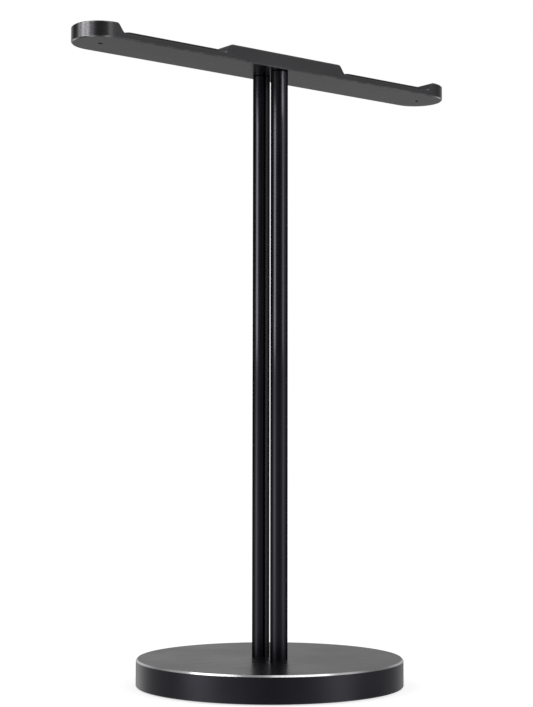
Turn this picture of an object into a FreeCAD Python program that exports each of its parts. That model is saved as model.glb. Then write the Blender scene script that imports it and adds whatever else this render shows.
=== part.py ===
import FreeCAD
import Part
import math
import os

# Headphone stand for two headsets: a weighted round base, two round rods standing side by side,
# and a flat bar across the top with a cradle for a headband on each side of the rods.
# Millimetres. The origin is the middle of the foot pad's underside, +Z is up, the bar lies along X,
# and the rods stand one behind the other along Y. The front of the stand faces -Y.

# Base
BASE_DIAMETER = 130.0
BASE_THICKNESS = 13.0
BASE_TOP_BEVEL = 0.8
BASE_BOTTOM_BEVEL = 0.3
PAD_RECESS_DIAMETER = 122.0
PAD_RECESS_DEPTH = 1.0
POCKET_DIAMETER = 100.0
POCKET_DEPTH = 6.0

# Foot pad and the films that hold the soft parts
FOOT_PAD_STAND_OFF = 0.5
FOOT_PAD_GAP = 0.5
FOOT_PAD_BEVEL = 0.3
FILM_THICKNESS = 0.2
FILM_INSET = 0.5

# Steel plate in the base's pocket
WEIGHT_PLATE_GAP = 0.3
WEIGHT_PLATE_THICKNESS = 5.8
WINDOW_WIDTH = 13.0
PLATE_SCREW_COUNT = 3
PLATE_SCREW_CIRCLE_RADIUS = 38.0

# Rods
ROD_DIAMETER = 8.5
ROD_SPACING = 14.4
ROD_SHOWN_LENGTH = 287.3
ROD_SEAT_DEPTH = 1.5
ROD_SEAT_GAP = 0.05
ROD_END_BEVEL = 0.3
ROD_FOOT_BORE_DEPTH = 18.0
ROD_TOP_BORE_DEPTH = 11.0

# Bar
BAR_LENGTH = 225.5
BAR_WIDTH = 27.5
BAR_THICKNESS = 7.4
BAR_EDGE_BEVEL = 0.5
BAR_BORE_DEPTH = 5.0
END_HOLE_OFFSET = 99.3
END_HOLE_DIAMETER = 2.6
END_HOLE_DEPTH = 4.5
END_HOLE_BEVEL = 0.3

# Cradles, cut into the bar's top
CRADLE_OFFSET = 66.0
CRADLE_LENGTH = 63.6
CRADLE_DEPTH = 4.4
CRADLE_SLOPE_DEGREES = 56.0
CRADLE_FLOOR_RADIUS = 2.5
CRADLE_RIM_RADIUS = 2.0
CRADLE_PAD_LENGTH = 54.0
CRADLE_PAD_WIDTH = 24.5
CRADLE_PAD_THICKNESS = 1.0
CRADLE_PAD_CORNER_RADIUS = 3.0
CRADLE_PAD_TOP_RADIUS = 0.3

# M5 fasteners: the screws and studs have the thread's clearance taken off their shanks
M5_BORE_DIAMETER = 5.0
M5_SHANK_DIAMETER = 4.9
M5_CLEARANCE_DIAMETER = 5.5
M5_HEAD_DIAMETER = 9.5
M5_HEAD_HEIGHT = 2.75
M5_HEAD_CROWN_DIAMETER = 5.6
M5_DOME_SHOULDER_SHARE = 0.55
M5_DOME_RISE_SHARE = 0.35
M5_SOCKET_ACROSS_FLATS = 3.0
M5_SOCKET_DEPTH = 1.6
M5_SCREW_LENGTH = 20.0
M5_TIP_BEVEL = 0.6
FLAT_WASHER_DIAMETER = 10.0
FLAT_WASHER_BORE = 5.3
FLAT_WASHER_THICKNESS = 1.0
SPRING_WASHER_DIAMETER = 9.2
SPRING_WASHER_BORE = 5.1
SPRING_WASHER_THICKNESS = 1.2
SPRING_WASHER_SPLIT = 0.8
SPRING_WASHER_SPLIT_DEGREES = 25.0
STUD_LENGTH = 14.0
STUD_IN_BAR = 4.5
STUD_SOCKET_ACROSS_FLATS = 2.5
STUD_SOCKET_DEPTH = 2.5

# M3 fasteners
M3_BORE_DIAMETER = 3.0
M3_SHANK_DIAMETER = 2.9
M3_CLEARANCE_DIAMETER = 3.4
M3_HEAD_DIAMETER = 5.6
M3_HEAD_HEIGHT = 2.0
M3_COUNTERBORE_DIAMETER = 6.4
M3_COUNTERBORE_DEPTH = 2.4
M3_SOCKET_ACROSS_FLATS = 2.0
M3_SOCKET_DEPTH = 1.1
M3_SCREW_LENGTH = 6.0
M3_TIP_BEVEL = 0.4
M3_BORE_DEPTH = 4.0

DRILL_POINT_DEGREES = 118.0
CUT_MARGIN = 1.0
TOLERANCE = 1e-4
OUTLINE_SAMPLES = 5

# Levels, from the floor up
BASE_BOTTOM = FOOT_PAD_STAND_OFF
BASE_TOP = BASE_BOTTOM + BASE_THICKNESS
RECESS_ROOF = BASE_BOTTOM + PAD_RECESS_DEPTH
POCKET_ROOF = RECESS_ROOF + POCKET_DEPTH
PLATE_BOTTOM = POCKET_ROOF - WEIGHT_PLATE_THICKNESS
ROD_BOTTOM = BASE_TOP - ROD_SEAT_DEPTH
BAR_BOTTOM = BASE_TOP + ROD_SHOWN_LENGTH
BAR_TOP = BAR_BOTTOM + BAR_THICKNESS
CRADLE_FLOOR = BAR_TOP - CRADLE_DEPTH
FLAT_WASHER_BOTTOM = POCKET_ROOF - FLAT_WASHER_THICKNESS
SPRING_WASHER_BOTTOM = FLAT_WASHER_BOTTOM - SPRING_WASHER_THICKNESS
BAR_ARC_CENTRE = (BAR_LENGTH - BAR_WIDTH) / 2

ROD_PLACES = {"front": -ROD_SPACING / 2, "rear": ROD_SPACING / 2}
CRADLE_PLACES = {"left": -CRADLE_OFFSET, "right": CRADLE_OFFSET}


def cylinder(diameter, bottom, top, x=0.0, y=0.0):
    """An upright cylinder between two levels."""
    return Part.makeCylinder(diameter / 2, top - bottom, FreeCAD.Vector(x, y, bottom))


def turned(profile, x=0.0, y=0.0):
    """A solid turned about the upright axis at x, y from (radius, level) corners."""
    corners = [FreeCAD.Vector(x + radius, y, level) for radius, level in profile]
    face = Part.Face(Part.makePolygon(corners + corners[:1]))
    return face.revolve(FreeCAD.Vector(x, y, 0), FreeCAD.Vector(0, 0, 1), 360)


def hexagon(across_flats, bottom, top, x=0.0, y=0.0):
    """An upright hexagonal prism, for a key's socket."""
    radius = across_flats / math.sqrt(3)
    corners = []
    for index in range(6):
        angle = math.radians(60 * index)
        corners.append(FreeCAD.Vector(x + radius * math.cos(angle), y + radius * math.sin(angle), bottom))
    face = Part.Face(Part.makePolygon(corners + corners[:1]))
    return face.extrude(FreeCAD.Vector(0, 0, top - bottom))


def obround(length, width, bottom, top):
    """An upright prism with half-round ends, its length along X."""
    half = (length - width) / 2
    radius = width / 2
    right_end = Part.Arc(FreeCAD.Vector(half, -radius, bottom), FreeCAD.Vector(half + radius, 0, bottom),
                         FreeCAD.Vector(half, radius, bottom))
    left_end = Part.Arc(FreeCAD.Vector(-half, radius, bottom), FreeCAD.Vector(-half - radius, 0, bottom),
                        FreeCAD.Vector(-half, -radius, bottom))
    back = Part.makeLine(FreeCAD.Vector(half, radius, bottom), FreeCAD.Vector(-half, radius, bottom))
    front = Part.makeLine(FreeCAD.Vector(-half, -radius, bottom), FreeCAD.Vector(half, -radius, bottom))
    face = Part.Face(Part.Wire([right_end.toShape(), back, left_end.toShape(), front]))
    return face.extrude(FreeCAD.Vector(0, 0, top - bottom))


def blind_bore(diameter, mouth, depth, x=0.0, y=0.0):
    """A drilled hole's space: up from its mouth, or down where depth is negative."""
    direction = math.copysign(1.0, depth)
    radius = diameter / 2
    point = radius / math.tan(math.radians(DRILL_POINT_DEGREES / 2))
    end = mouth + depth
    start = mouth - direction * CUT_MARGIN
    return turned([(0, start), (radius, start), (radius, end), (0, end + direction * point)], x, y)


def bevelled_rod(diameter, bottom, top, bevel, y):
    """A cylinder with the same bevel at both ends."""
    radius = diameter / 2
    profile = [(0, bottom), (radius - bevel, bottom), (radius, bottom + bevel),
               (radius, top - bevel), (radius - bevel, top), (0, top)]
    return turned(profile, y=y)


def plate_screw_places():
    """Where the plate's screws stand, as (x, y), the first on the front side."""
    places = []
    for index in range(PLATE_SCREW_COUNT):
        angle = math.radians(360 * index / PLATE_SCREW_COUNT - 90)
        radius = PLATE_SCREW_CIRCLE_RADIUS
        places.append((radius * math.cos(angle), radius * math.sin(angle)))
    return places


def base_disc():
    radius = BASE_DIAMETER / 2
    profile = [(0, BASE_BOTTOM), (radius - BASE_BOTTOM_BEVEL, BASE_BOTTOM),
               (radius, BASE_BOTTOM + BASE_BOTTOM_BEVEL), (radius, BASE_TOP - BASE_TOP_BEVEL),
               (radius - BASE_TOP_BEVEL, BASE_TOP), (0, BASE_TOP)]
    body = turned(profile)
    body = body.cut(cylinder(PAD_RECESS_DIAMETER, BASE_BOTTOM - CUT_MARGIN, RECESS_ROOF))
    body = body.cut(cylinder(POCKET_DIAMETER, RECESS_ROOF - CUT_MARGIN, POCKET_ROOF))
    for y in ROD_PLACES.values():
        body = body.cut(cylinder(M5_CLEARANCE_DIAMETER, POCKET_ROOF - CUT_MARGIN, BASE_TOP, y=y))
        body = body.cut(cylinder(ROD_DIAMETER + 2 * ROD_SEAT_GAP, ROD_BOTTOM, BASE_TOP + CUT_MARGIN, y=y))
    for x, y in plate_screw_places():
        body = body.cut(blind_bore(M3_BORE_DIAMETER, POCKET_ROOF, M3_BORE_DEPTH, x, y))
    return body


def weight_plate():
    """A steel disc with a window round the rods' screws and a counterbored hole for each of its own."""
    below, above = PLATE_BOTTOM - CUT_MARGIN, POCKET_ROOF + CUT_MARGIN
    plate = cylinder(POCKET_DIAMETER - 2 * WEIGHT_PLATE_GAP, PLATE_BOTTOM, POCKET_ROOF)
    window = obround(ROD_SPACING + WINDOW_WIDTH, WINDOW_WIDTH, below, above)
    window.rotate(FreeCAD.Vector(0, 0, 0), FreeCAD.Vector(0, 0, 1), 90)
    plate = plate.cut(window)
    counterbore_roof = PLATE_BOTTOM + M3_COUNTERBORE_DEPTH
    for x, y in plate_screw_places():
        plate = plate.cut(cylinder(M3_CLEARANCE_DIAMETER, PLATE_BOTTOM, above, x, y))
        plate = plate.cut(cylinder(M3_COUNTERBORE_DIAMETER, below, counterbore_roof, x, y))
    return plate


def plate_screw(x, y):
    seat = PLATE_BOTTOM + M3_COUNTERBORE_DEPTH
    head_bottom = seat - M3_HEAD_HEIGHT
    tip = seat + M3_SCREW_LENGTH
    head = M3_HEAD_DIAMETER / 2
    shank = M3_SHANK_DIAMETER / 2
    profile = [(0, head_bottom), (head - M3_TIP_BEVEL, head_bottom), (head, head_bottom + M3_TIP_BEVEL),
               (head, seat), (shank, seat), (shank, tip - M3_TIP_BEVEL),
               (shank - M3_TIP_BEVEL, tip), (0, tip)]
    socket = hexagon(M3_SOCKET_ACROSS_FLATS, head_bottom - CUT_MARGIN, head_bottom + M3_SOCKET_DEPTH, x, y)
    return turned(profile, x, y).cut(socket)


def foot_pad():
    diameter = PAD_RECESS_DIAMETER - 2 * FOOT_PAD_GAP
    radius = diameter / 2
    top = RECESS_ROOF - FILM_THICKNESS
    return turned([(0, 0), (radius - FOOT_PAD_BEVEL, 0), (radius, FOOT_PAD_BEVEL), (radius, top), (0, top)])


def foot_pad_adhesive():
    """A ring of film on the base's rim, outside the pocket."""
    outer = PAD_RECESS_DIAMETER - 2 * (FOOT_PAD_GAP + FILM_INSET)
    inner = POCKET_DIAMETER + 2 * FILM_INSET
    ring = cylinder(outer, RECESS_ROOF - FILM_THICKNESS, RECESS_ROOF)
    return ring.cut(cylinder(inner, RECESS_ROOF - CUT_MARGIN, RECESS_ROOF + CUT_MARGIN))


def rod(y):
    """A round rod with an M5 thread bored in each end."""
    body = bevelled_rod(ROD_DIAMETER, ROD_BOTTOM, BAR_BOTTOM, ROD_END_BEVEL, y)
    body = body.cut(blind_bore(M5_BORE_DIAMETER, ROD_BOTTOM, ROD_FOOT_BORE_DEPTH, y=y))
    return body.cut(blind_bore(M5_BORE_DIAMETER, BAR_BOTTOM, -ROD_TOP_BORE_DEPTH, y=y))


def base_screw(y):
    """A button-head screw: a domed head below, its shank up into the rod."""
    seat = SPRING_WASHER_BOTTOM
    head_bottom = seat - M5_HEAD_HEIGHT
    tip = seat + M5_SCREW_LENGTH
    head = M5_HEAD_DIAMETER / 2
    crown = M5_HEAD_CROWN_DIAMETER / 2
    shank = M5_SHANK_DIAMETER / 2
    shoulder = crown + (head - crown) * M5_DOME_SHOULDER_SHARE
    middle = FreeCAD.Vector(shoulder, y, head_bottom + M5_HEAD_HEIGHT * M5_DOME_RISE_SHARE)
    edge = FreeCAD.Vector(head, y, seat - M5_TIP_BEVEL)
    dome = Part.Arc(FreeCAD.Vector(crown, y, head_bottom), middle, edge)
    corners = [(head, seat - M5_TIP_BEVEL), (head, seat), (shank, seat), (shank, tip - M5_TIP_BEVEL),
               (shank - M5_TIP_BEVEL, tip), (0, tip), (0, head_bottom), (crown, head_bottom)]
    outline = Part.makePolygon([FreeCAD.Vector(radius, y, level) for radius, level in corners])
    face = Part.Face(Part.Wire(outline.Edges + [dome.toShape()]))
    body = face.revolve(FreeCAD.Vector(0, y, 0), FreeCAD.Vector(0, 0, 1), 360)
    socket_roof = head_bottom + M5_SOCKET_DEPTH
    return body.cut(hexagon(M5_SOCKET_ACROSS_FLATS, head_bottom - CUT_MARGIN, socket_roof, y=y))


def flat_washer(y):
    bottom, top = FLAT_WASHER_BOTTOM, POCKET_ROOF
    ring = cylinder(FLAT_WASHER_DIAMETER, bottom, top, y=y)
    return ring.cut(cylinder(FLAT_WASHER_BORE, bottom - CUT_MARGIN, top + CUT_MARGIN, y=y))


def spring_washer(y):
    """A flattened split ring, its split slanted like a coil's cut end."""
    top = FLAT_WASHER_BOTTOM
    ring = cylinder(SPRING_WASHER_DIAMETER, SPRING_WASHER_BOTTOM, top, y=y)
    ring = ring.cut(cylinder(SPRING_WASHER_BORE, SPRING_WASHER_BOTTOM - CUT_MARGIN, top + CUT_MARGIN, y=y))
    middle = (SPRING_WASHER_BOTTOM + top) / 2
    height = SPRING_WASHER_THICKNESS + 2 * CUT_MARGIN
    corner = FreeCAD.Vector(0, y - SPRING_WASHER_SPLIT / 2, middle - height / 2)
    split = Part.makeBox(SPRING_WASHER_DIAMETER, SPRING_WASHER_SPLIT, height, corner)
    split.rotate(FreeCAD.Vector(0, y, middle), FreeCAD.Vector(1, 0, 0), SPRING_WASHER_SPLIT_DEGREES)
    return ring.cut(split)


def top_stud(y):
    """A socket set screw, half in the rod and half in the bar."""
    top = BAR_BOTTOM + STUD_IN_BAR
    bottom = top - STUD_LENGTH
    body = bevelled_rod(M5_SHANK_DIAMETER, bottom, top, M5_TIP_BEVEL, y)
    return body.cut(hexagon(STUD_SOCKET_ACROSS_FLATS, top - STUD_SOCKET_DEPTH, top + CUT_MARGIN, y=y))


def cradle_space(centre):
    """What is cut from the bar's top: a flat floor with sloped ends, open front and back."""
    run = CRADLE_DEPTH / math.tan(math.radians(CRADLE_SLOPE_DEGREES))
    rise = CUT_MARGIN / math.tan(math.radians(CRADLE_SLOPE_DEGREES))
    half_top = CRADLE_LENGTH / 2
    half_floor = half_top - run
    y = -BAR_WIDTH
    outline = [(-half_floor, CRADLE_FLOOR), (half_floor, CRADLE_FLOOR),
               (half_top + rise, BAR_TOP + CUT_MARGIN), (-half_top - rise, BAR_TOP + CUT_MARGIN)]
    corners = [FreeCAD.Vector(centre + x, y, z) for x, z in outline]
    space = Part.Face(Part.makePolygon(corners + corners[:1])).extrude(FreeCAD.Vector(0, 2 * BAR_WIDTH, 0))
    return space.makeFillet(CRADLE_FLOOR_RADIUS, edges_across(space, CRADLE_FLOOR))


def edges_across(shape, level):
    """A shape's straight edges along Y at a level."""
    found = []
    for edge in shape.Edges:
        first, last = edge.Vertexes[0].Point, edge.Vertexes[-1].Point
        along_y = abs(abs(first.y - last.y) - edge.Length) < TOLERANCE
        if along_y and abs(edge.CenterOfMass.z - level) < TOLERANCE:
            found.append(edge)
    return found


def on_bar_outline(edge):
    """Whether an edge follows the bar's side, and isn't upright."""
    for point in edge.discretize(OUTLINE_SAMPLES):
        past_arc_centre = max(abs(point.x) - BAR_ARC_CENTRE, 0)
        if abs(math.hypot(past_arc_centre, point.y) - BAR_WIDTH / 2) > TOLERANCE:
            return False
    first, last = edge.Vertexes[0].Point, edge.Vertexes[-1].Point
    return math.hypot(first.x - last.x, first.y - last.y) > TOLERANCE


def cradle_bar():
    bar = obround(BAR_LENGTH, BAR_WIDTH, BAR_BOTTOM, BAR_TOP)
    for centre in CRADLE_PLACES.values():
        bar = bar.cut(cradle_space(centre))
    bar = bar.makeFillet(CRADLE_RIM_RADIUS, edges_across(bar, BAR_TOP))
    bar = bar.makeChamfer(BAR_EDGE_BEVEL, [edge for edge in bar.Edges if on_bar_outline(edge)])
    for y in ROD_PLACES.values():
        bar = bar.cut(cylinder(M5_BORE_DIAMETER, BAR_BOTTOM - CUT_MARGIN, BAR_BOTTOM + BAR_BORE_DEPTH, y=y))
    hole = END_HOLE_DIAMETER / 2
    mouth = hole + END_HOLE_BEVEL
    profile = [(0, BAR_BOTTOM - CUT_MARGIN), (mouth, BAR_BOTTOM - CUT_MARGIN), (mouth, BAR_BOTTOM),
               (hole, BAR_BOTTOM + END_HOLE_BEVEL), (hole, BAR_BOTTOM + END_HOLE_DEPTH),
               (0, BAR_BOTTOM + END_HOLE_DEPTH)]
    for x in (-END_HOLE_OFFSET, END_HOLE_OFFSET):
        bar = bar.cut(turned(profile, x))
    return bar


def rounded_sheet(length, width, corner_radius, bottom, top, x):
    """A flat sheet with rounded corners, centred at x."""
    corner = FreeCAD.Vector(x - length / 2, -width / 2, bottom)
    sheet = Part.makeBox(length, width, top - bottom, corner)
    uprights = [edge for edge in sheet.Edges if abs(edge.Length - (top - bottom)) < TOLERANCE]
    return sheet.makeFillet(corner_radius, uprights)


def cradle_pad(x):
    bottom = CRADLE_FLOOR + FILM_THICKNESS
    top = bottom + CRADLE_PAD_THICKNESS
    pad = rounded_sheet(CRADLE_PAD_LENGTH, CRADLE_PAD_WIDTH, CRADLE_PAD_CORNER_RADIUS, bottom, top, x)
    rim = [edge for edge in pad.Edges if edge.CenterOfMass.z > top - TOLERANCE]
    return pad.makeFillet(CRADLE_PAD_TOP_RADIUS, rim)


def pad_adhesive(x):
    length = CRADLE_PAD_LENGTH - 2 * FILM_INSET
    width = CRADLE_PAD_WIDTH - 2 * FILM_INSET
    radius = CRADLE_PAD_CORNER_RADIUS - FILM_INSET
    return rounded_sheet(length, width, radius, CRADLE_FLOOR, CRADLE_FLOOR + FILM_THICKNESS, x)


def sub_parts():
    """Every sub-part, by the name of its node."""
    parts = {
        "base_disc": base_disc(),
        "weight_plate": weight_plate(),
        "foot_pad": foot_pad(),
        "foot_pad_adhesive": foot_pad_adhesive(),
        "cradle_bar": cradle_bar(),
    }
    for number, (x, y) in enumerate(plate_screw_places(), start=1):
        parts[f"plate_screw_{number}"] = plate_screw(x, y)
    for side, y in ROD_PLACES.items():
        parts[f"{side}_rod"] = rod(y)
        parts[f"{side}_base_screw"] = base_screw(y)
        parts[f"{side}_flat_washer"] = flat_washer(y)
        parts[f"{side}_spring_washer"] = spring_washer(y)
        parts[f"{side}_top_stud"] = top_stud(y)
    for side, x in CRADLE_PLACES.items():
        parts[f"{side}_cradle_pad"] = cradle_pad(x)
        parts[f"{side}_pad_adhesive"] = pad_adhesive(x)
    return parts


def main():
    os.makedirs("parts", exist_ok=True)
    for name, shape in sub_parts().items():
        if not shape.isValid() or len(shape.Solids) != 1:
            raise SystemExit(f"{name} is not one valid solid")
        shape.exportStep(f"parts/{name}.step")
        print(f"{name}: {shape.Volume:.1f} mm3")


main()
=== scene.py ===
import math

import bmesh
import bpy
from mathutils import Matrix, Vector

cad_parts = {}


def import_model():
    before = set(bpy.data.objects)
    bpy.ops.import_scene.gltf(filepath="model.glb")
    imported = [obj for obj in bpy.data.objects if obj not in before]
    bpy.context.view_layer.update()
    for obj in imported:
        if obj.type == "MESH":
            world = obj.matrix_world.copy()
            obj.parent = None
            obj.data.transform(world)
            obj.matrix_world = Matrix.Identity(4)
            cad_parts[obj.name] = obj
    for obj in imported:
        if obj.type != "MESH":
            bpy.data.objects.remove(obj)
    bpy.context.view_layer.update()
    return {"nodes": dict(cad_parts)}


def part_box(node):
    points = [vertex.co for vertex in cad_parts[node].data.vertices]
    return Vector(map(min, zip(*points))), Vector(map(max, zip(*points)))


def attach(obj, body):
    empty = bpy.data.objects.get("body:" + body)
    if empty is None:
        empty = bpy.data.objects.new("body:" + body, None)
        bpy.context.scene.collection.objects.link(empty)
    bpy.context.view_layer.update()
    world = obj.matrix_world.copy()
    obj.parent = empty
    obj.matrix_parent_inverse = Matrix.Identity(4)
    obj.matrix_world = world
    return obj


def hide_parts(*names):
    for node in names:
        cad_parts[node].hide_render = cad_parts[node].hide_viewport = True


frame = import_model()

MM = 0.001
nodes = frame["nodes"]

# Camera: a long lens, level with the lower third of the stand and turned from the bar's front. The picture
# is upright, so the sensor's width lies along its height.
CAMERA_TURN = 38.016
CAMERA_DISTANCE = 0.8006
CAMERA_HEIGHT = 0.11297
CAMERA_PITCH = 3.488
CAMERA_YAW = -0.124
CAMERA_ROLL = 0.083
CAMERA_CLIP = (0.01, 50.0)
SENSOR_WIDTH = 36.0
LENS = 82.93


# ---------------------------------------------------------------- nodes

class Graph:
    """A small helper to wire shader nodes with plain calls."""

    def __init__(self, tree):
        self.tree = tree
        tree.nodes.clear()

    def node(self, kind, inputs=None, **settings):
        made = self.tree.nodes.new(kind)
        for name, value in settings.items():
            setattr(made, name, value)
        for key, value in (inputs or {}).items():
            self.feed(made.inputs[key], value)
        return made

    def feed(self, socket, value):
        if isinstance(value, bpy.types.NodeSocket):
            self.tree.links.new(value, socket)
        else:
            socket.default_value = value

    def math(self, operation, a, b=0.0):
        return self.node("ShaderNodeMath", {0: a, 1: b}, operation=operation).outputs[0]

    def add(self, a, b):
        return self.math("ADD", a, b)

    def minus(self, a, b):
        return self.math("SUBTRACT", a, b)

    def times(self, a, b):
        return self.math("MULTIPLY", a, b)

    def dot(self, a, b):
        return self.node("ShaderNodeVectorMath", {0: a, 1: b}, operation="DOT_PRODUCT").outputs["Value"]

    def place(self):
        return self.node("ShaderNodeTexCoord").outputs["Object"]

    def split(self, vector):
        return self.node("ShaderNodeSeparateXYZ", {0: vector}).outputs

    def facing_up(self):
        """The upward part of the face's normal: one on a level top, and nought on an upright side."""
        return self.split(self.node("ShaderNodeNewGeometry").outputs["True Normal"])[2]

    def noise(self, vector, scale, detail=3.0, roughness=0.5):
        made = self.node("ShaderNodeTexNoise", {"Vector": vector, "Scale": scale, "Detail": detail,
                                                "Roughness": roughness})
        return made.outputs["Fac"]

    def cloud(self, vector, scale):
        """Noise with more fine detail."""
        return self.noise(vector, scale, detail=4.0, roughness=0.6)

    def streaks(self, vector, scales, detail=3.0, roughness=0.5):
        """Noise with a scale of its own along each axis."""
        stretched = self.node("ShaderNodeMapping", {"Vector": vector, "Scale": scales}).outputs[0]
        return self.noise(stretched, 1.0, detail, roughness)

    def ramp(self, value, low, high, to_low=0.0, to_high=1.0, kind="SMOOTHSTEP"):
        made = self.node("ShaderNodeMapRange", {"Value": value, "From Min": low, "From Max": high,
                                                "To Min": to_low, "To Max": to_high}, interpolation_type=kind)
        return made.outputs["Result"]

    def blend(self, amount, a, b):
        made = self.node("ShaderNodeMix", data_type="RGBA")
        self.feed(made.inputs["Factor"], amount)
        self.feed(made.inputs["A"], a)
        self.feed(made.inputs["B"], b)
        return made.outputs["Result"]

    def bump(self, height, distance, strength, under=None):
        made = self.node("ShaderNodeBump", {"Height": height, "Distance": distance, "Strength": strength})
        if under is not None:
            self.feed(made.inputs["Normal"], under)
        return made.outputs["Normal"]

    def principled(self, **inputs):
        shader = self.node("ShaderNodeBsdfPrincipled")
        for name, value in inputs.items():
            self.feed(shader.inputs[name.replace("_", " ")], value)
        self.node("ShaderNodeOutputMaterial", {"Surface": shader.outputs[0]})


def material(name):
    made = bpy.data.materials.new(name)
    made.use_nodes = True
    return made, Graph(made.node_tree)


def colour(red, green, blue):
    return (red, green, blue, 1.0)


def grey(value):
    return colour(value, value, value)


def tint(value, blue=1.16):
    """The faint violet-blue of black dye in aluminium."""
    green = 0.97
    return colour(value, value * green, value * blue)


# ---------------------------------------------------------------- materials

MOTTLE_SCALE = 45.0
MOTTLE_RANGE = (0.3, 0.7)
CLOUD_RANGE = (0.2, 0.8)


def mottle(graph, place):
    """A slow variation, as from handling and uneven dye."""
    return graph.noise(place, MOTTLE_SCALE, detail=2.0)


def base_metal():
    """Black anodising, bead-blasted on top and finer on the side, with a bright turned bevel between them."""
    sloped_from, level_from = (0.4, 0.5), (0.8, 0.9)
    bevel_zone, zone_fade = 2.0 * MM, 0.5 * MM
    bead_scale, turning_scale = 5200.0, 900.0
    bead_depth, turning_depth, relief = 0.002 * MM, 0.003 * MM, 0.35
    darkest, palest, bright_cut = tint(0.047), tint(0.053), colour(0.80, 0.80, 0.82)
    side_satin, top_change, bevel_change = (0.23, 0.27), 0.03, -0.07

    made, graph = material("base_black_anodised")
    place = graph.place()
    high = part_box("base_disc")[1]
    facing_up = graph.facing_up()
    top = graph.ramp(facing_up, *level_from)
    sloped = graph.times(graph.ramp(facing_up, *sloped_from), graph.ramp(facing_up, *level_from, 1.0, 0.0))
    near_top = graph.ramp(graph.split(place)[2], high.z - bevel_zone, high.z - bevel_zone + zone_fade)
    bevel = graph.times(sloped, near_top)

    smudges = mottle(graph, place)
    dyed = graph.blend(graph.ramp(smudges, *MOTTLE_RANGE), darkest, palest)
    rough = graph.ramp(smudges, *MOTTLE_RANGE, *side_satin)
    rough = graph.add(rough, graph.times(top, top_change))
    rough = graph.add(rough, graph.times(bevel, bevel_change))

    beads = graph.noise(place, bead_scale, detail=2.0, roughness=0.6)
    turning = graph.node("ShaderNodeTexWave", {"Vector": place, "Scale": turning_scale, "Distortion": 0.4,
                                               "Detail": 1.0}, wave_type="RINGS", rings_direction="Z")
    blasted = graph.bump(beads, bead_depth, relief)
    normal = graph.bump(turning.outputs["Fac"], turning_depth, relief, blasted)
    graph.principled(Base_Color=graph.blend(bevel, dyed, bright_cut), Metallic=1.0, Roughness=rough,
                     Normal=normal)
    return made


def rod_metal():
    """Smooth satin black anodising with fine drawn lines along the rod."""
    line_scales, line_depth, relief = (4200.0, 4200.0, 60.0), 0.005 * MM, 0.4
    darkest, palest, edge_tint = tint(0.043), tint(0.048), grey(0.25)
    satin = (0.21, 0.25)

    made, graph = material("rod_black_anodised")
    place = graph.place()
    smudges = mottle(graph, place)
    dyed = graph.blend(graph.ramp(smudges, *MOTTLE_RANGE), darkest, palest)
    drawn = graph.streaks(place, line_scales, detail=2.0)
    graph.principled(Base_Color=dyed, Metallic=1.0, Roughness=graph.ramp(smudges, *MOTTLE_RANGE, *satin),
                     Normal=graph.bump(drawn, line_depth, relief), Specular_Tint=edge_tint)
    return made


def bar_edge(graph, place):
    """One on the broken edges round the bar's outline, above and below, and nought a little way in."""
    fade = (0.55 * MM, 0.8 * MM)
    low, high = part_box("cradle_bar")
    half_width = (high.y - low.y) / 2
    x, y, z = graph.split(place)
    past_straight = graph.math("MAXIMUM", graph.minus(graph.math("ABSOLUTE", x), high.x - half_width), 0.0)
    from_axis = graph.math("SQRT", graph.add(graph.times(past_straight, past_straight), graph.times(y, y)))
    from_outline = graph.minus(half_width, from_axis)
    from_face = graph.math("MINIMUM", graph.minus(high.z, z), graph.minus(z, low.z))
    return graph.ramp(graph.add(from_outline, from_face), *fade, 1.0, 0.0)


def bar_metal():
    """Dark anodising over metal brushed along the bar and round its sides, worn a little at its edges."""
    neutral = 1.02
    darkest, palest, worn_tint = (tint(value, neutral) for value in (0.085, 0.092, 0.15))
    across, along, brush_roughness = 5200.0, 90.0, 0.7
    side_to_flat = (0.3, 0.5)
    wear_scale, wear_range, least_wear = 160.0, (0.42, 0.58), 0.3
    satin, brushing_change, wear_change = (0.24, 0.28), 0.04, -0.05
    brush_depth, relief = 0.006 * MM, 0.4

    made, graph = material("bar_dark_anodised")
    place = graph.place()
    along_bar = graph.streaks(place, (along, across, across), roughness=brush_roughness)
    round_sides = graph.streaks(place, (along, along, across), roughness=brush_roughness)
    level = graph.ramp(graph.math("ABSOLUTE", graph.facing_up()), *side_to_flat)
    brushed = graph.blend(level, round_sides, along_bar)
    wear = graph.ramp(graph.noise(place, wear_scale), *wear_range, least_wear, 1.0)
    worn = graph.times(bar_edge(graph, place), wear)

    smudges = mottle(graph, place)
    dyed = graph.blend(graph.ramp(smudges, *MOTTLE_RANGE), darkest, palest)
    rough = graph.add(graph.ramp(smudges, *MOTTLE_RANGE, *satin),
                      graph.ramp(brushed, *CLOUD_RANGE, -brushing_change, brushing_change))
    rough = graph.add(rough, graph.times(worn, wear_change))
    graph.principled(Base_Color=graph.blend(worn, dyed, worn_tint), Metallic=1.0, Roughness=rough,
                     Normal=graph.bump(brushed, brush_depth, relief))
    return made


def plain_metal(name, bright, roughness, grain_scale):
    """Plated or blackened steel with a fine uneven surface."""
    darkest, smoother, rougher = 0.8, 0.05, 0.08
    pit_depth, relief = 0.02 * MM, 0.5

    made, graph = material(name)
    cloud = graph.cloud(graph.place(), grain_scale)
    dark = colour(*(channel * darkest for channel in bright[:3]))
    rough = graph.ramp(cloud, *CLOUD_RANGE, roughness - smoother, roughness + rougher)
    graph.principled(Base_Color=graph.blend(cloud, dark, bright), Metallic=1.0, Roughness=rough,
                     Normal=graph.bump(cloud, pit_depth, relief))
    return made


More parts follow.
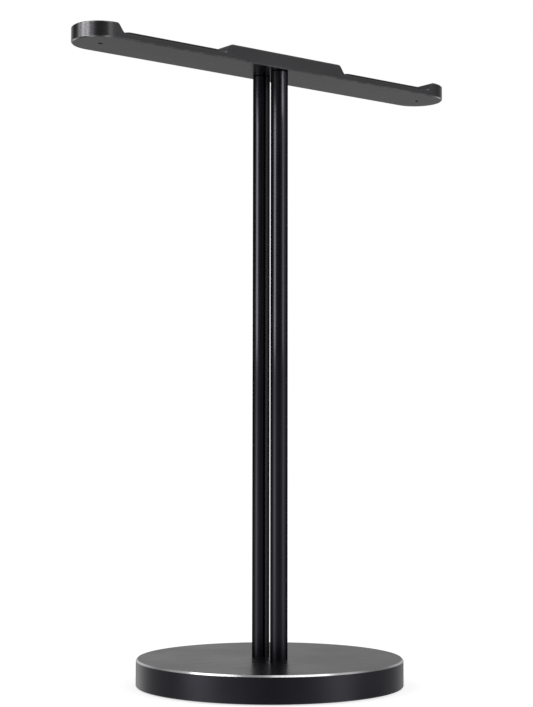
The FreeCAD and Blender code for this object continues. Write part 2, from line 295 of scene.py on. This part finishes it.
def soft_rubber(name, value, roughness, grain_scale, grain_depth):
    """Matt rubber or silicone with a moulded grain."""
    variation, smoother, rougher, relief = 0.2, 0.06, 0.04, 0.6
    cloud_scale = 120.0

    made, graph = material(name)
    place = graph.place()
    grain = graph.node("ShaderNodeTexVoronoi", {"Vector": place, "Scale": grain_scale}).outputs["Distance"]
    cloud = graph.cloud(place, cloud_scale)
    clouded = graph.blend(cloud, grey(value * (1 - variation)), grey(value * (1 + variation)))
    rough = graph.ramp(cloud, *CLOUD_RANGE, roughness - smoother, roughness + rougher)
    graph.principled(Base_Color=clouded, Roughness=rough, Normal=graph.bump(grain, grain_depth, relief),
                     Specular_IOR_Level=0.35, Sheen_Weight=0.15)
    return made


def film():
    """Thin adhesive film, slightly yellow and cloudy."""
    cloud_scale, ripple_depth, relief = 700.0, 0.02 * MM, 0.4
    thin, thick = colour(0.55, 0.50, 0.38), colour(0.68, 0.63, 0.50)
    gloss = (0.35, 0.5)

    made, graph = material("adhesive_film")
    cloud = graph.cloud(graph.place(), cloud_scale)
    graph.principled(Base_Color=graph.blend(cloud, thin, thick),
                     Roughness=graph.ramp(cloud, *CLOUD_RANGE, *gloss),
                     Normal=graph.bump(cloud, ripple_depth, relief))
    return made


def floor_finish():
    """Pale translucent sheet with a faint tooth, lit a little from behind."""
    darkest, palest = grey(0.49), grey(0.51)
    tooth_scale, tooth_depth, relief = 900.0, 0.01 * MM, 0.3

    made, graph = material("pale_floor")
    tooth = graph.noise(graph.place(), tooth_scale)
    graph.principled(Base_Color=graph.blend(tooth, darkest, palest), Roughness=0.85,
                     Specular_IOR_Level=0.1, Emission_Color=grey(1.0), Emission_Strength=0.74,
                     Normal=graph.bump(tooth, tooth_depth, relief))
    return made


# ---------------------------------------------------------------- soft pieces

ROUND_STEPS = 6
ARCH_STEPS = 8
CORNER_STEPS = 8
DISC_SIDES = 192


def quarter_round(radius):
    """How far in and how far below the top each point lies on an edge rounded from side to top."""
    points = []
    for step in range(ROUND_STEPS + 1):
        angle = math.pi / 2 * step / ROUND_STEPS
        points.append((radius * (1 - math.cos(angle)), radius * (1 - math.sin(angle))))
    return points


def rounded_ring(length, width, radius, inset):
    """Points round a rounded rectangle, brought in from its edge by an inset."""
    least_corner = 0.05 * MM
    corner = max(radius - inset, least_corner)
    half_x, half_y = length / 2 - inset - corner, width / 2 - inset - corner
    points = []
    for quarter in range(4):
        centre_x = half_x if quarter in (0, 3) else -half_x
        centre_y = half_y if quarter in (0, 1) else -half_y
        for step in range(CORNER_STEPS + 1):
            angle = math.pi / 2 * (quarter + step / CORNER_STEPS)
            points.append((centre_x + corner * math.cos(angle), centre_y + corner * math.sin(angle)))
    return points


def lofted(name, rings):
    """A closed skin through rings of equal length, from one face of a piece round to the other."""
    mesh = bpy.data.meshes.new(name)
    build = bmesh.new()
    loops = [[build.verts.new(point) for point in ring] for ring in rings]
    for lower, upper in zip(loops, loops[1:]):
        for index in range(len(lower)):
            after = (index + 1) % len(lower)
            build.faces.new((lower[index], lower[after], upper[after], upper[index]))
    build.faces.new(list(reversed(loops[0])))
    build.faces.new(loops[-1])
    bmesh.ops.recalc_face_normals(build, faces=build.faces)
    build.to_mesh(mesh)
    build.free()
    for face in mesh.polygons:
        face.use_smooth = True
    piece = bpy.data.objects.new(name, mesh)
    bpy.context.scene.collection.objects.link(piece)
    return piece


def liner(name, node):
    """A silicone liner: rounded edge, a shallow border step, and a slightly crowned middle."""
    low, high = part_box(node)
    length, width, top = high.x - low.x, high.y - low.y, high.z - low.z
    middle = (low + high) / 2
    corner, chamfer, edge = 3.0 * MM, 0.25 * MM, 0.35 * MM
    border, step_width, step_down = 1.4 * MM, 0.3 * MM, 0.12 * MM
    crown, flat_middle = step_down * 0.9, 0.6 * MM
    inner = border + step_width
    reach = width / 2 - flat_middle

    profile = [(chamfer, 0.0), (0.0, chamfer)]
    profile += [(inset, top - fall) for inset, fall in quarter_round(edge)]
    profile += [(border, top), (border + step_width / 2, top - step_down / 2), (inner, top - step_down)]
    for step in range(1, ARCH_STEPS + 1):
        share = step / ARCH_STEPS
        profile.append((inner + (reach - inner) * share,
                        top - step_down + crown * math.sin(math.pi / 2 * share)))
    rings = []
    for inset, rise in profile:
        outline = rounded_ring(length, width, corner, inset)
        rings.append([(middle.x + x, middle.y + y, low.z + rise) for x, y in outline])
    return lofted(name, rings)


def sole(name, node):
    """The foot pad: a soft disc with a rounded lower edge and a shallow moulded ring."""
    low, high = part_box(node)
    radius, thickness = high.x, high.z - low.z
    edge, middle_radius = 0.45 * MM, 0.5 * MM
    groove_inset, groove_width, groove_depth = 6 * MM, 1.2 * MM, 0.25 * MM

    profile = [(radius, thickness)]
    profile += [(radius - inset, fall) for inset, fall in quarter_round(edge)]
    for step in range(ARCH_STEPS + 1):
        share = step / ARCH_STEPS
        across = radius - groove_inset + groove_width * (0.5 - share)
        profile.append((across, groove_depth * math.sin(math.pi * share)))
    profile.append((middle_radius, 0.0))
    angles = [2 * math.pi * index / DISC_SIDES for index in range(DISC_SIDES)]
    rings = [[(distance * math.cos(angle), distance * math.sin(angle), low.z + rise) for angle in angles]
             for distance, rise in profile]
    return lofted(name, rings)


# ---------------------------------------------------------------- studio

# The studio's brightness round the stand, one ring for each band of height, as (turn, brightness) stops. The
# turn is in degrees from the camera, positive to its right. The walls are dim, with a soft panel on each
# side. Black metal shows what it mirrors: from the camera, the rods and the base's side mirror the low and
# level rings, the base's top and the bar's sides the rising one, and the bevel the upper ones.
BELOW_RING = [(-180, 0.29), (-160, 0.40), (-134, 2.2), (-108, 0.40), (-90, 0.34), (-62, 2.0), (-36, 0.40),
              (0, 0.30), (36, 0.40), (62, 2.0), (90, 0.34), (108, 0.40), (134, 2.2), (160, 0.40),
              (180, 0.29)]
LOW_RING = [(-180, 0.29), (-146, 0.72), (-112, 0.42), (-88, 0.36), (-62, 0.60), (-36, 0.48), (0, 0.26),
            (28, 0.33), (62, 0.64), (86, 0.38), (125, 0.30), (150, 0.42), (180, 0.29)]
LEVEL_RING = [(-180, 0.50), (-146, 0.57), (-112, 0.36), (-88, 0.40), (-62, 2.90), (-36, 0.42), (0, 0.18),
              (28, 0.30), (62, 1.60), (86, 0.38), (125, 0.31), (150, 0.42), (180, 0.46)]
RISING_RING = [(-180, 0.50), (-146, 0.57), (-118, 0.12), (-92, 0.14), (-62, 0.50), (-36, 0.22), (0, 0.06),
               (28, 0.16), (60, 0.43), (78, 0.53), (110, 0.30), (150, 0.42), (180, 0.46)]
UPPER_RING = [(-180, 0.46), (-152, 0.50), (-128, 0.20), (-100, 0.16), (-62, 0.90), (-36, 0.40), (0, 0.20),
              (28, 0.32), (62, 0.70), (86, 0.36), (110, 0.16), (135, 0.14), (150, 0.40), (180, 0.46)]
PANEL_RING = [(-180, 0.40), (-156, 0.36), (-134, 0.17), (-119, 0.40), (-100, 0.30), (-84, 1.0), (-50, 1.5),
              (-20, 0.9), (20, 0.9), (50, 1.5), (80, 1.0), (113, 0.55), (124, 0.12), (158, 0.36),
              (180, 0.40)]
OVERHEAD = 0.29

# Each ring above the first, with the elevations in degrees between which it takes over from the one below.
RINGS_ABOVE = [((-22, -12), LOW_RING), ((-7.5, -2), LEVEL_RING), ((0.5, 3.5), RISING_RING),
               ((16, 22), UPPER_RING), ((26, 34), PANEL_RING)]
OVERHEAD_SPAN = (52, 62)

# Small panels close to the bar's end, as (turn, brightness).
END_PANELS = [(-82, 0.13), (-64, 0.28), (-46, 0.235), (-28, 0.045), (41, 0.048)]

FLOOR_RADIUS = 8.0
FLOOR_SIDES = 96
FLOOR_DROP = 0.02 * MM


def direction(turn, elevation):
    """A unit vector from the stand: turn in degrees from the camera, positive to the picture's right."""
    azimuth = math.radians(turn - CAMERA_TURN)
    rise = math.radians(elevation)
    return Vector((math.sin(azimuth) * math.cos(rise), -math.cos(azimuth) * math.cos(rise), math.sin(rise)))


def ring(graph, turn, stops):
    """The brightness of one ring. The turn runs from nought to one round it, with the camera at a half."""
    peak = max(brightness for _, brightness in stops)
    ramp = graph.node("ShaderNodeValToRGB", {"Fac": turn})
    ramp.color_ramp.interpolation = "EASE"
    elements = ramp.color_ramp.elements
    while len(elements) < len(stops):
        elements.new(1.0)
    for element, (degrees, _) in zip(elements, stops):
        element.position = degrees / 360 + 0.5
    for element, (_, brightness) in zip(elements, stops):
        element.color = grey(brightness / peak)
    return graph.times(ramp.outputs["Color"], peak)


def fade_up(graph, rise, span, lower, upper):
    """Fades from one brightness to the next as a ray's direction rises through a span in degrees."""
    start, end = (math.sin(math.radians(degrees)) for degrees in span)
    return graph.blend(graph.ramp(rise, start, end), lower, upper)


def world():
    """A white surround for the camera, and a dim studio with soft wall panels for everything else."""
    made = bpy.data.worlds.new("studio")
    bpy.context.scene.world = made
    made.use_nodes = True
    graph = Graph(made.node_tree)
    ray = graph.node("ShaderNodeTexCoord").outputs["Generated"]
    rise = graph.split(ray)[2]
    ahead = graph.dot(ray, tuple(direction(0, 0)))
    aside = graph.dot(ray, tuple(direction(90, 0)))
    turn = graph.ramp(graph.math("ARCTAN2", aside, ahead), -math.pi, math.pi, kind="LINEAR")
    brightness = ring(graph, turn, BELOW_RING)
    for span, stops in RINGS_ABOVE:
        brightness = fade_up(graph, rise, span, brightness, ring(graph, turn, stops))
    brightness = fade_up(graph, rise, OVERHEAD_SPAN, brightness, grey(OVERHEAD))
    studio = graph.node("ShaderNodeBackground", {"Color": grey(1.0), "Strength": brightness})
    paper = graph.node("ShaderNodeBackground", {"Color": grey(1.0), "Strength": 1.0})
    seen = graph.node("ShaderNodeLightPath").outputs["Is Camera Ray"]
    mixed = graph.node("ShaderNodeMixShader", {0: seen, 1: studio.outputs[0], 2: paper.outputs[0]})
    graph.node("ShaderNodeOutputWorld", {"Surface": mixed.outputs[0]})


def softbox(name, target, turn, elevation, distance, size, brightness, spread=180):
    """An area light turned to a point on the stand, with a grid over it where its spread is narrow."""
    light = bpy.data.lights.new(name, "AREA")
    light.shape = "RECTANGLE"
    light.size, light.size_y = size
    light.energy = brightness * math.pi * light.size * light.size_y
    light.spread = math.radians(spread)
    lamp = bpy.data.objects.new(name, light)
    lamp.location = target + direction(turn, elevation) * distance
    lamp.rotation_euler = (target - lamp.location).to_track_quat("-Z", "Y").to_euler()
    lamp.visible_camera = False
    bpy.context.scene.collection.objects.link(lamp)


def overhead_lights():
    """Two big softboxes, which the base's bevel mirrors."""
    target = Vector((0, 0, 100 * MM))
    softbox("overhead_left", target, turn=-98, elevation=63, distance=1.1, size=(0.36, 0.5),
            brightness=2.034)
    softbox("overhead_right", target, turn=91, elevation=74, distance=1.1, size=(0.46, 0.62),
            brightness=1.283)


def close_lights():
    """Small gridded panels for the bar's end and the rods' upper half, kept from lighting the rest."""
    end_drop, top_drop, upper_drop = 8 * MM, 15 * MM, 75 * MM
    low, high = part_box("cradle_bar")
    half_width = (high.y - low.y) / 2
    below_end = Vector((low.x + half_width, 0, (low.z + high.z) / 2 - end_drop))
    for number, (turn, brightness) in enumerate(END_PANELS):
        softbox(f"bar_end_panel_{number}", below_end, turn, elevation=20.6, distance=0.067,
                size=(0.02, 0.026), brightness=brightness, spread=28)
    rod_tops = Vector((0, 0, low.z - top_drop))
    softbox("rod_top_panel", rod_tops, turn=44, elevation=14, distance=0.06, size=(0.024, 0.022),
            brightness=0.22, spread=40)
    upper_rods = Vector((0, 0, low.z - upper_drop))
    softbox("rod_strip_left", upper_rods, turn=-59, elevation=7, distance=0.1, size=(0.06, 0.14),
            brightness=0.25, spread=40)
    softbox("rod_strip_right", upper_rods, turn=53, elevation=7, distance=0.1, size=(0.056, 0.14),
            brightness=0.09, spread=40)


def floor():
    """A wide pale sheet under the stand. Reflections look past it, to the studio."""
    mesh = bpy.data.meshes.new("floor")
    build = bmesh.new()
    bmesh.ops.create_circle(build, cap_ends=True, radius=FLOOR_RADIUS, segments=FLOOR_SIDES)
    build.to_mesh(mesh)
    build.free()
    made = bpy.data.objects.new("floor", mesh)
    made.location.z = -FLOOR_DROP
    made.data.materials.append(floor_finish())
    made.visible_glossy = False
    bpy.context.scene.collection.objects.link(made)


def camera():
    """The camera, placed by its turn round the stand, and aimed by small angles from level."""
    data = bpy.data.cameras.new("camera")
    data.sensor_width = SENSOR_WIDTH
    data.lens = LENS
    data.clip_start, data.clip_end = CAMERA_CLIP
    made = bpy.data.objects.new("camera", data)
    turn = math.radians(CAMERA_TURN)
    made.location = (-math.sin(turn) * CAMERA_DISTANCE, -math.cos(turn) * CAMERA_DISTANCE, CAMERA_HEIGHT)
    heading = Matrix.Rotation(-turn - math.radians(CAMERA_YAW), 4, "Z")
    tilt = Matrix.Rotation(math.radians(90 + CAMERA_PITCH), 4, "X")
    roll = Matrix.Rotation(math.radians(CAMERA_ROLL), 4, "Z")
    made.rotation_euler = (heading @ tilt @ roll).to_euler()
    bpy.context.scene.collection.objects.link(made)
    bpy.context.scene.camera = made


# ---------------------------------------------------------------- assembly

def finish_cad_nodes():
    """Gives every CAD node that stays its real finish."""
    steel = plain_metal("zinc_plated_steel", colour(0.56, 0.57, 0.60), roughness=0.34, grain_scale=260.0)
    black = plain_metal("black_oxide_steel", colour(0.07, 0.07, 0.075), roughness=0.42, grain_scale=900.0)
    finishes = {"base_disc": base_metal(), "cradle_bar": bar_metal(), "weight_plate": steel}
    rods = rod_metal()
    sheet = film()
    for name in nodes:
        if name.endswith("_rod"):
            finishes[name] = rods
        elif name.endswith("_washer"):
            finishes[name] = steel
        elif name.endswith("_stud") or "_screw" in name:
            finishes[name] = black
        elif name.endswith("_adhesive"):
            finishes[name] = sheet
    for name, finish in finishes.items():
        nodes[name].data.materials.clear()
        nodes[name].data.materials.append(finish)


def add_soft_pieces():
    """The two liners and the foot pad, each in place of its plain CAD solid."""
    silicone = soft_rubber("matt_silicone", value=0.022, roughness=0.62, grain_scale=2600.0,
                           grain_depth=0.03 * MM)
    rubber = soft_rubber("foot_rubber", value=0.03, roughness=0.8, grain_scale=1300.0, grain_depth=0.08 * MM)
    for side in ("left", "right"):
        piece = liner(f"{side}_cradle_liner", f"{side}_cradle_pad")
        piece.data.materials.append(silicone)
        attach(piece, "root")
        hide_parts(f"{side}_cradle_pad")
    piece = sole("foot_sole", "foot_pad")
    piece.data.materials.append(rubber)
    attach(piece, "root")
    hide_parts("foot_pad")


camera()
finish_cad_nodes()
add_soft_pieces()
world()
overhead_lights()
close_lights()
floor()
bpy.context.scene.view_settings.view_transform = "Standard"
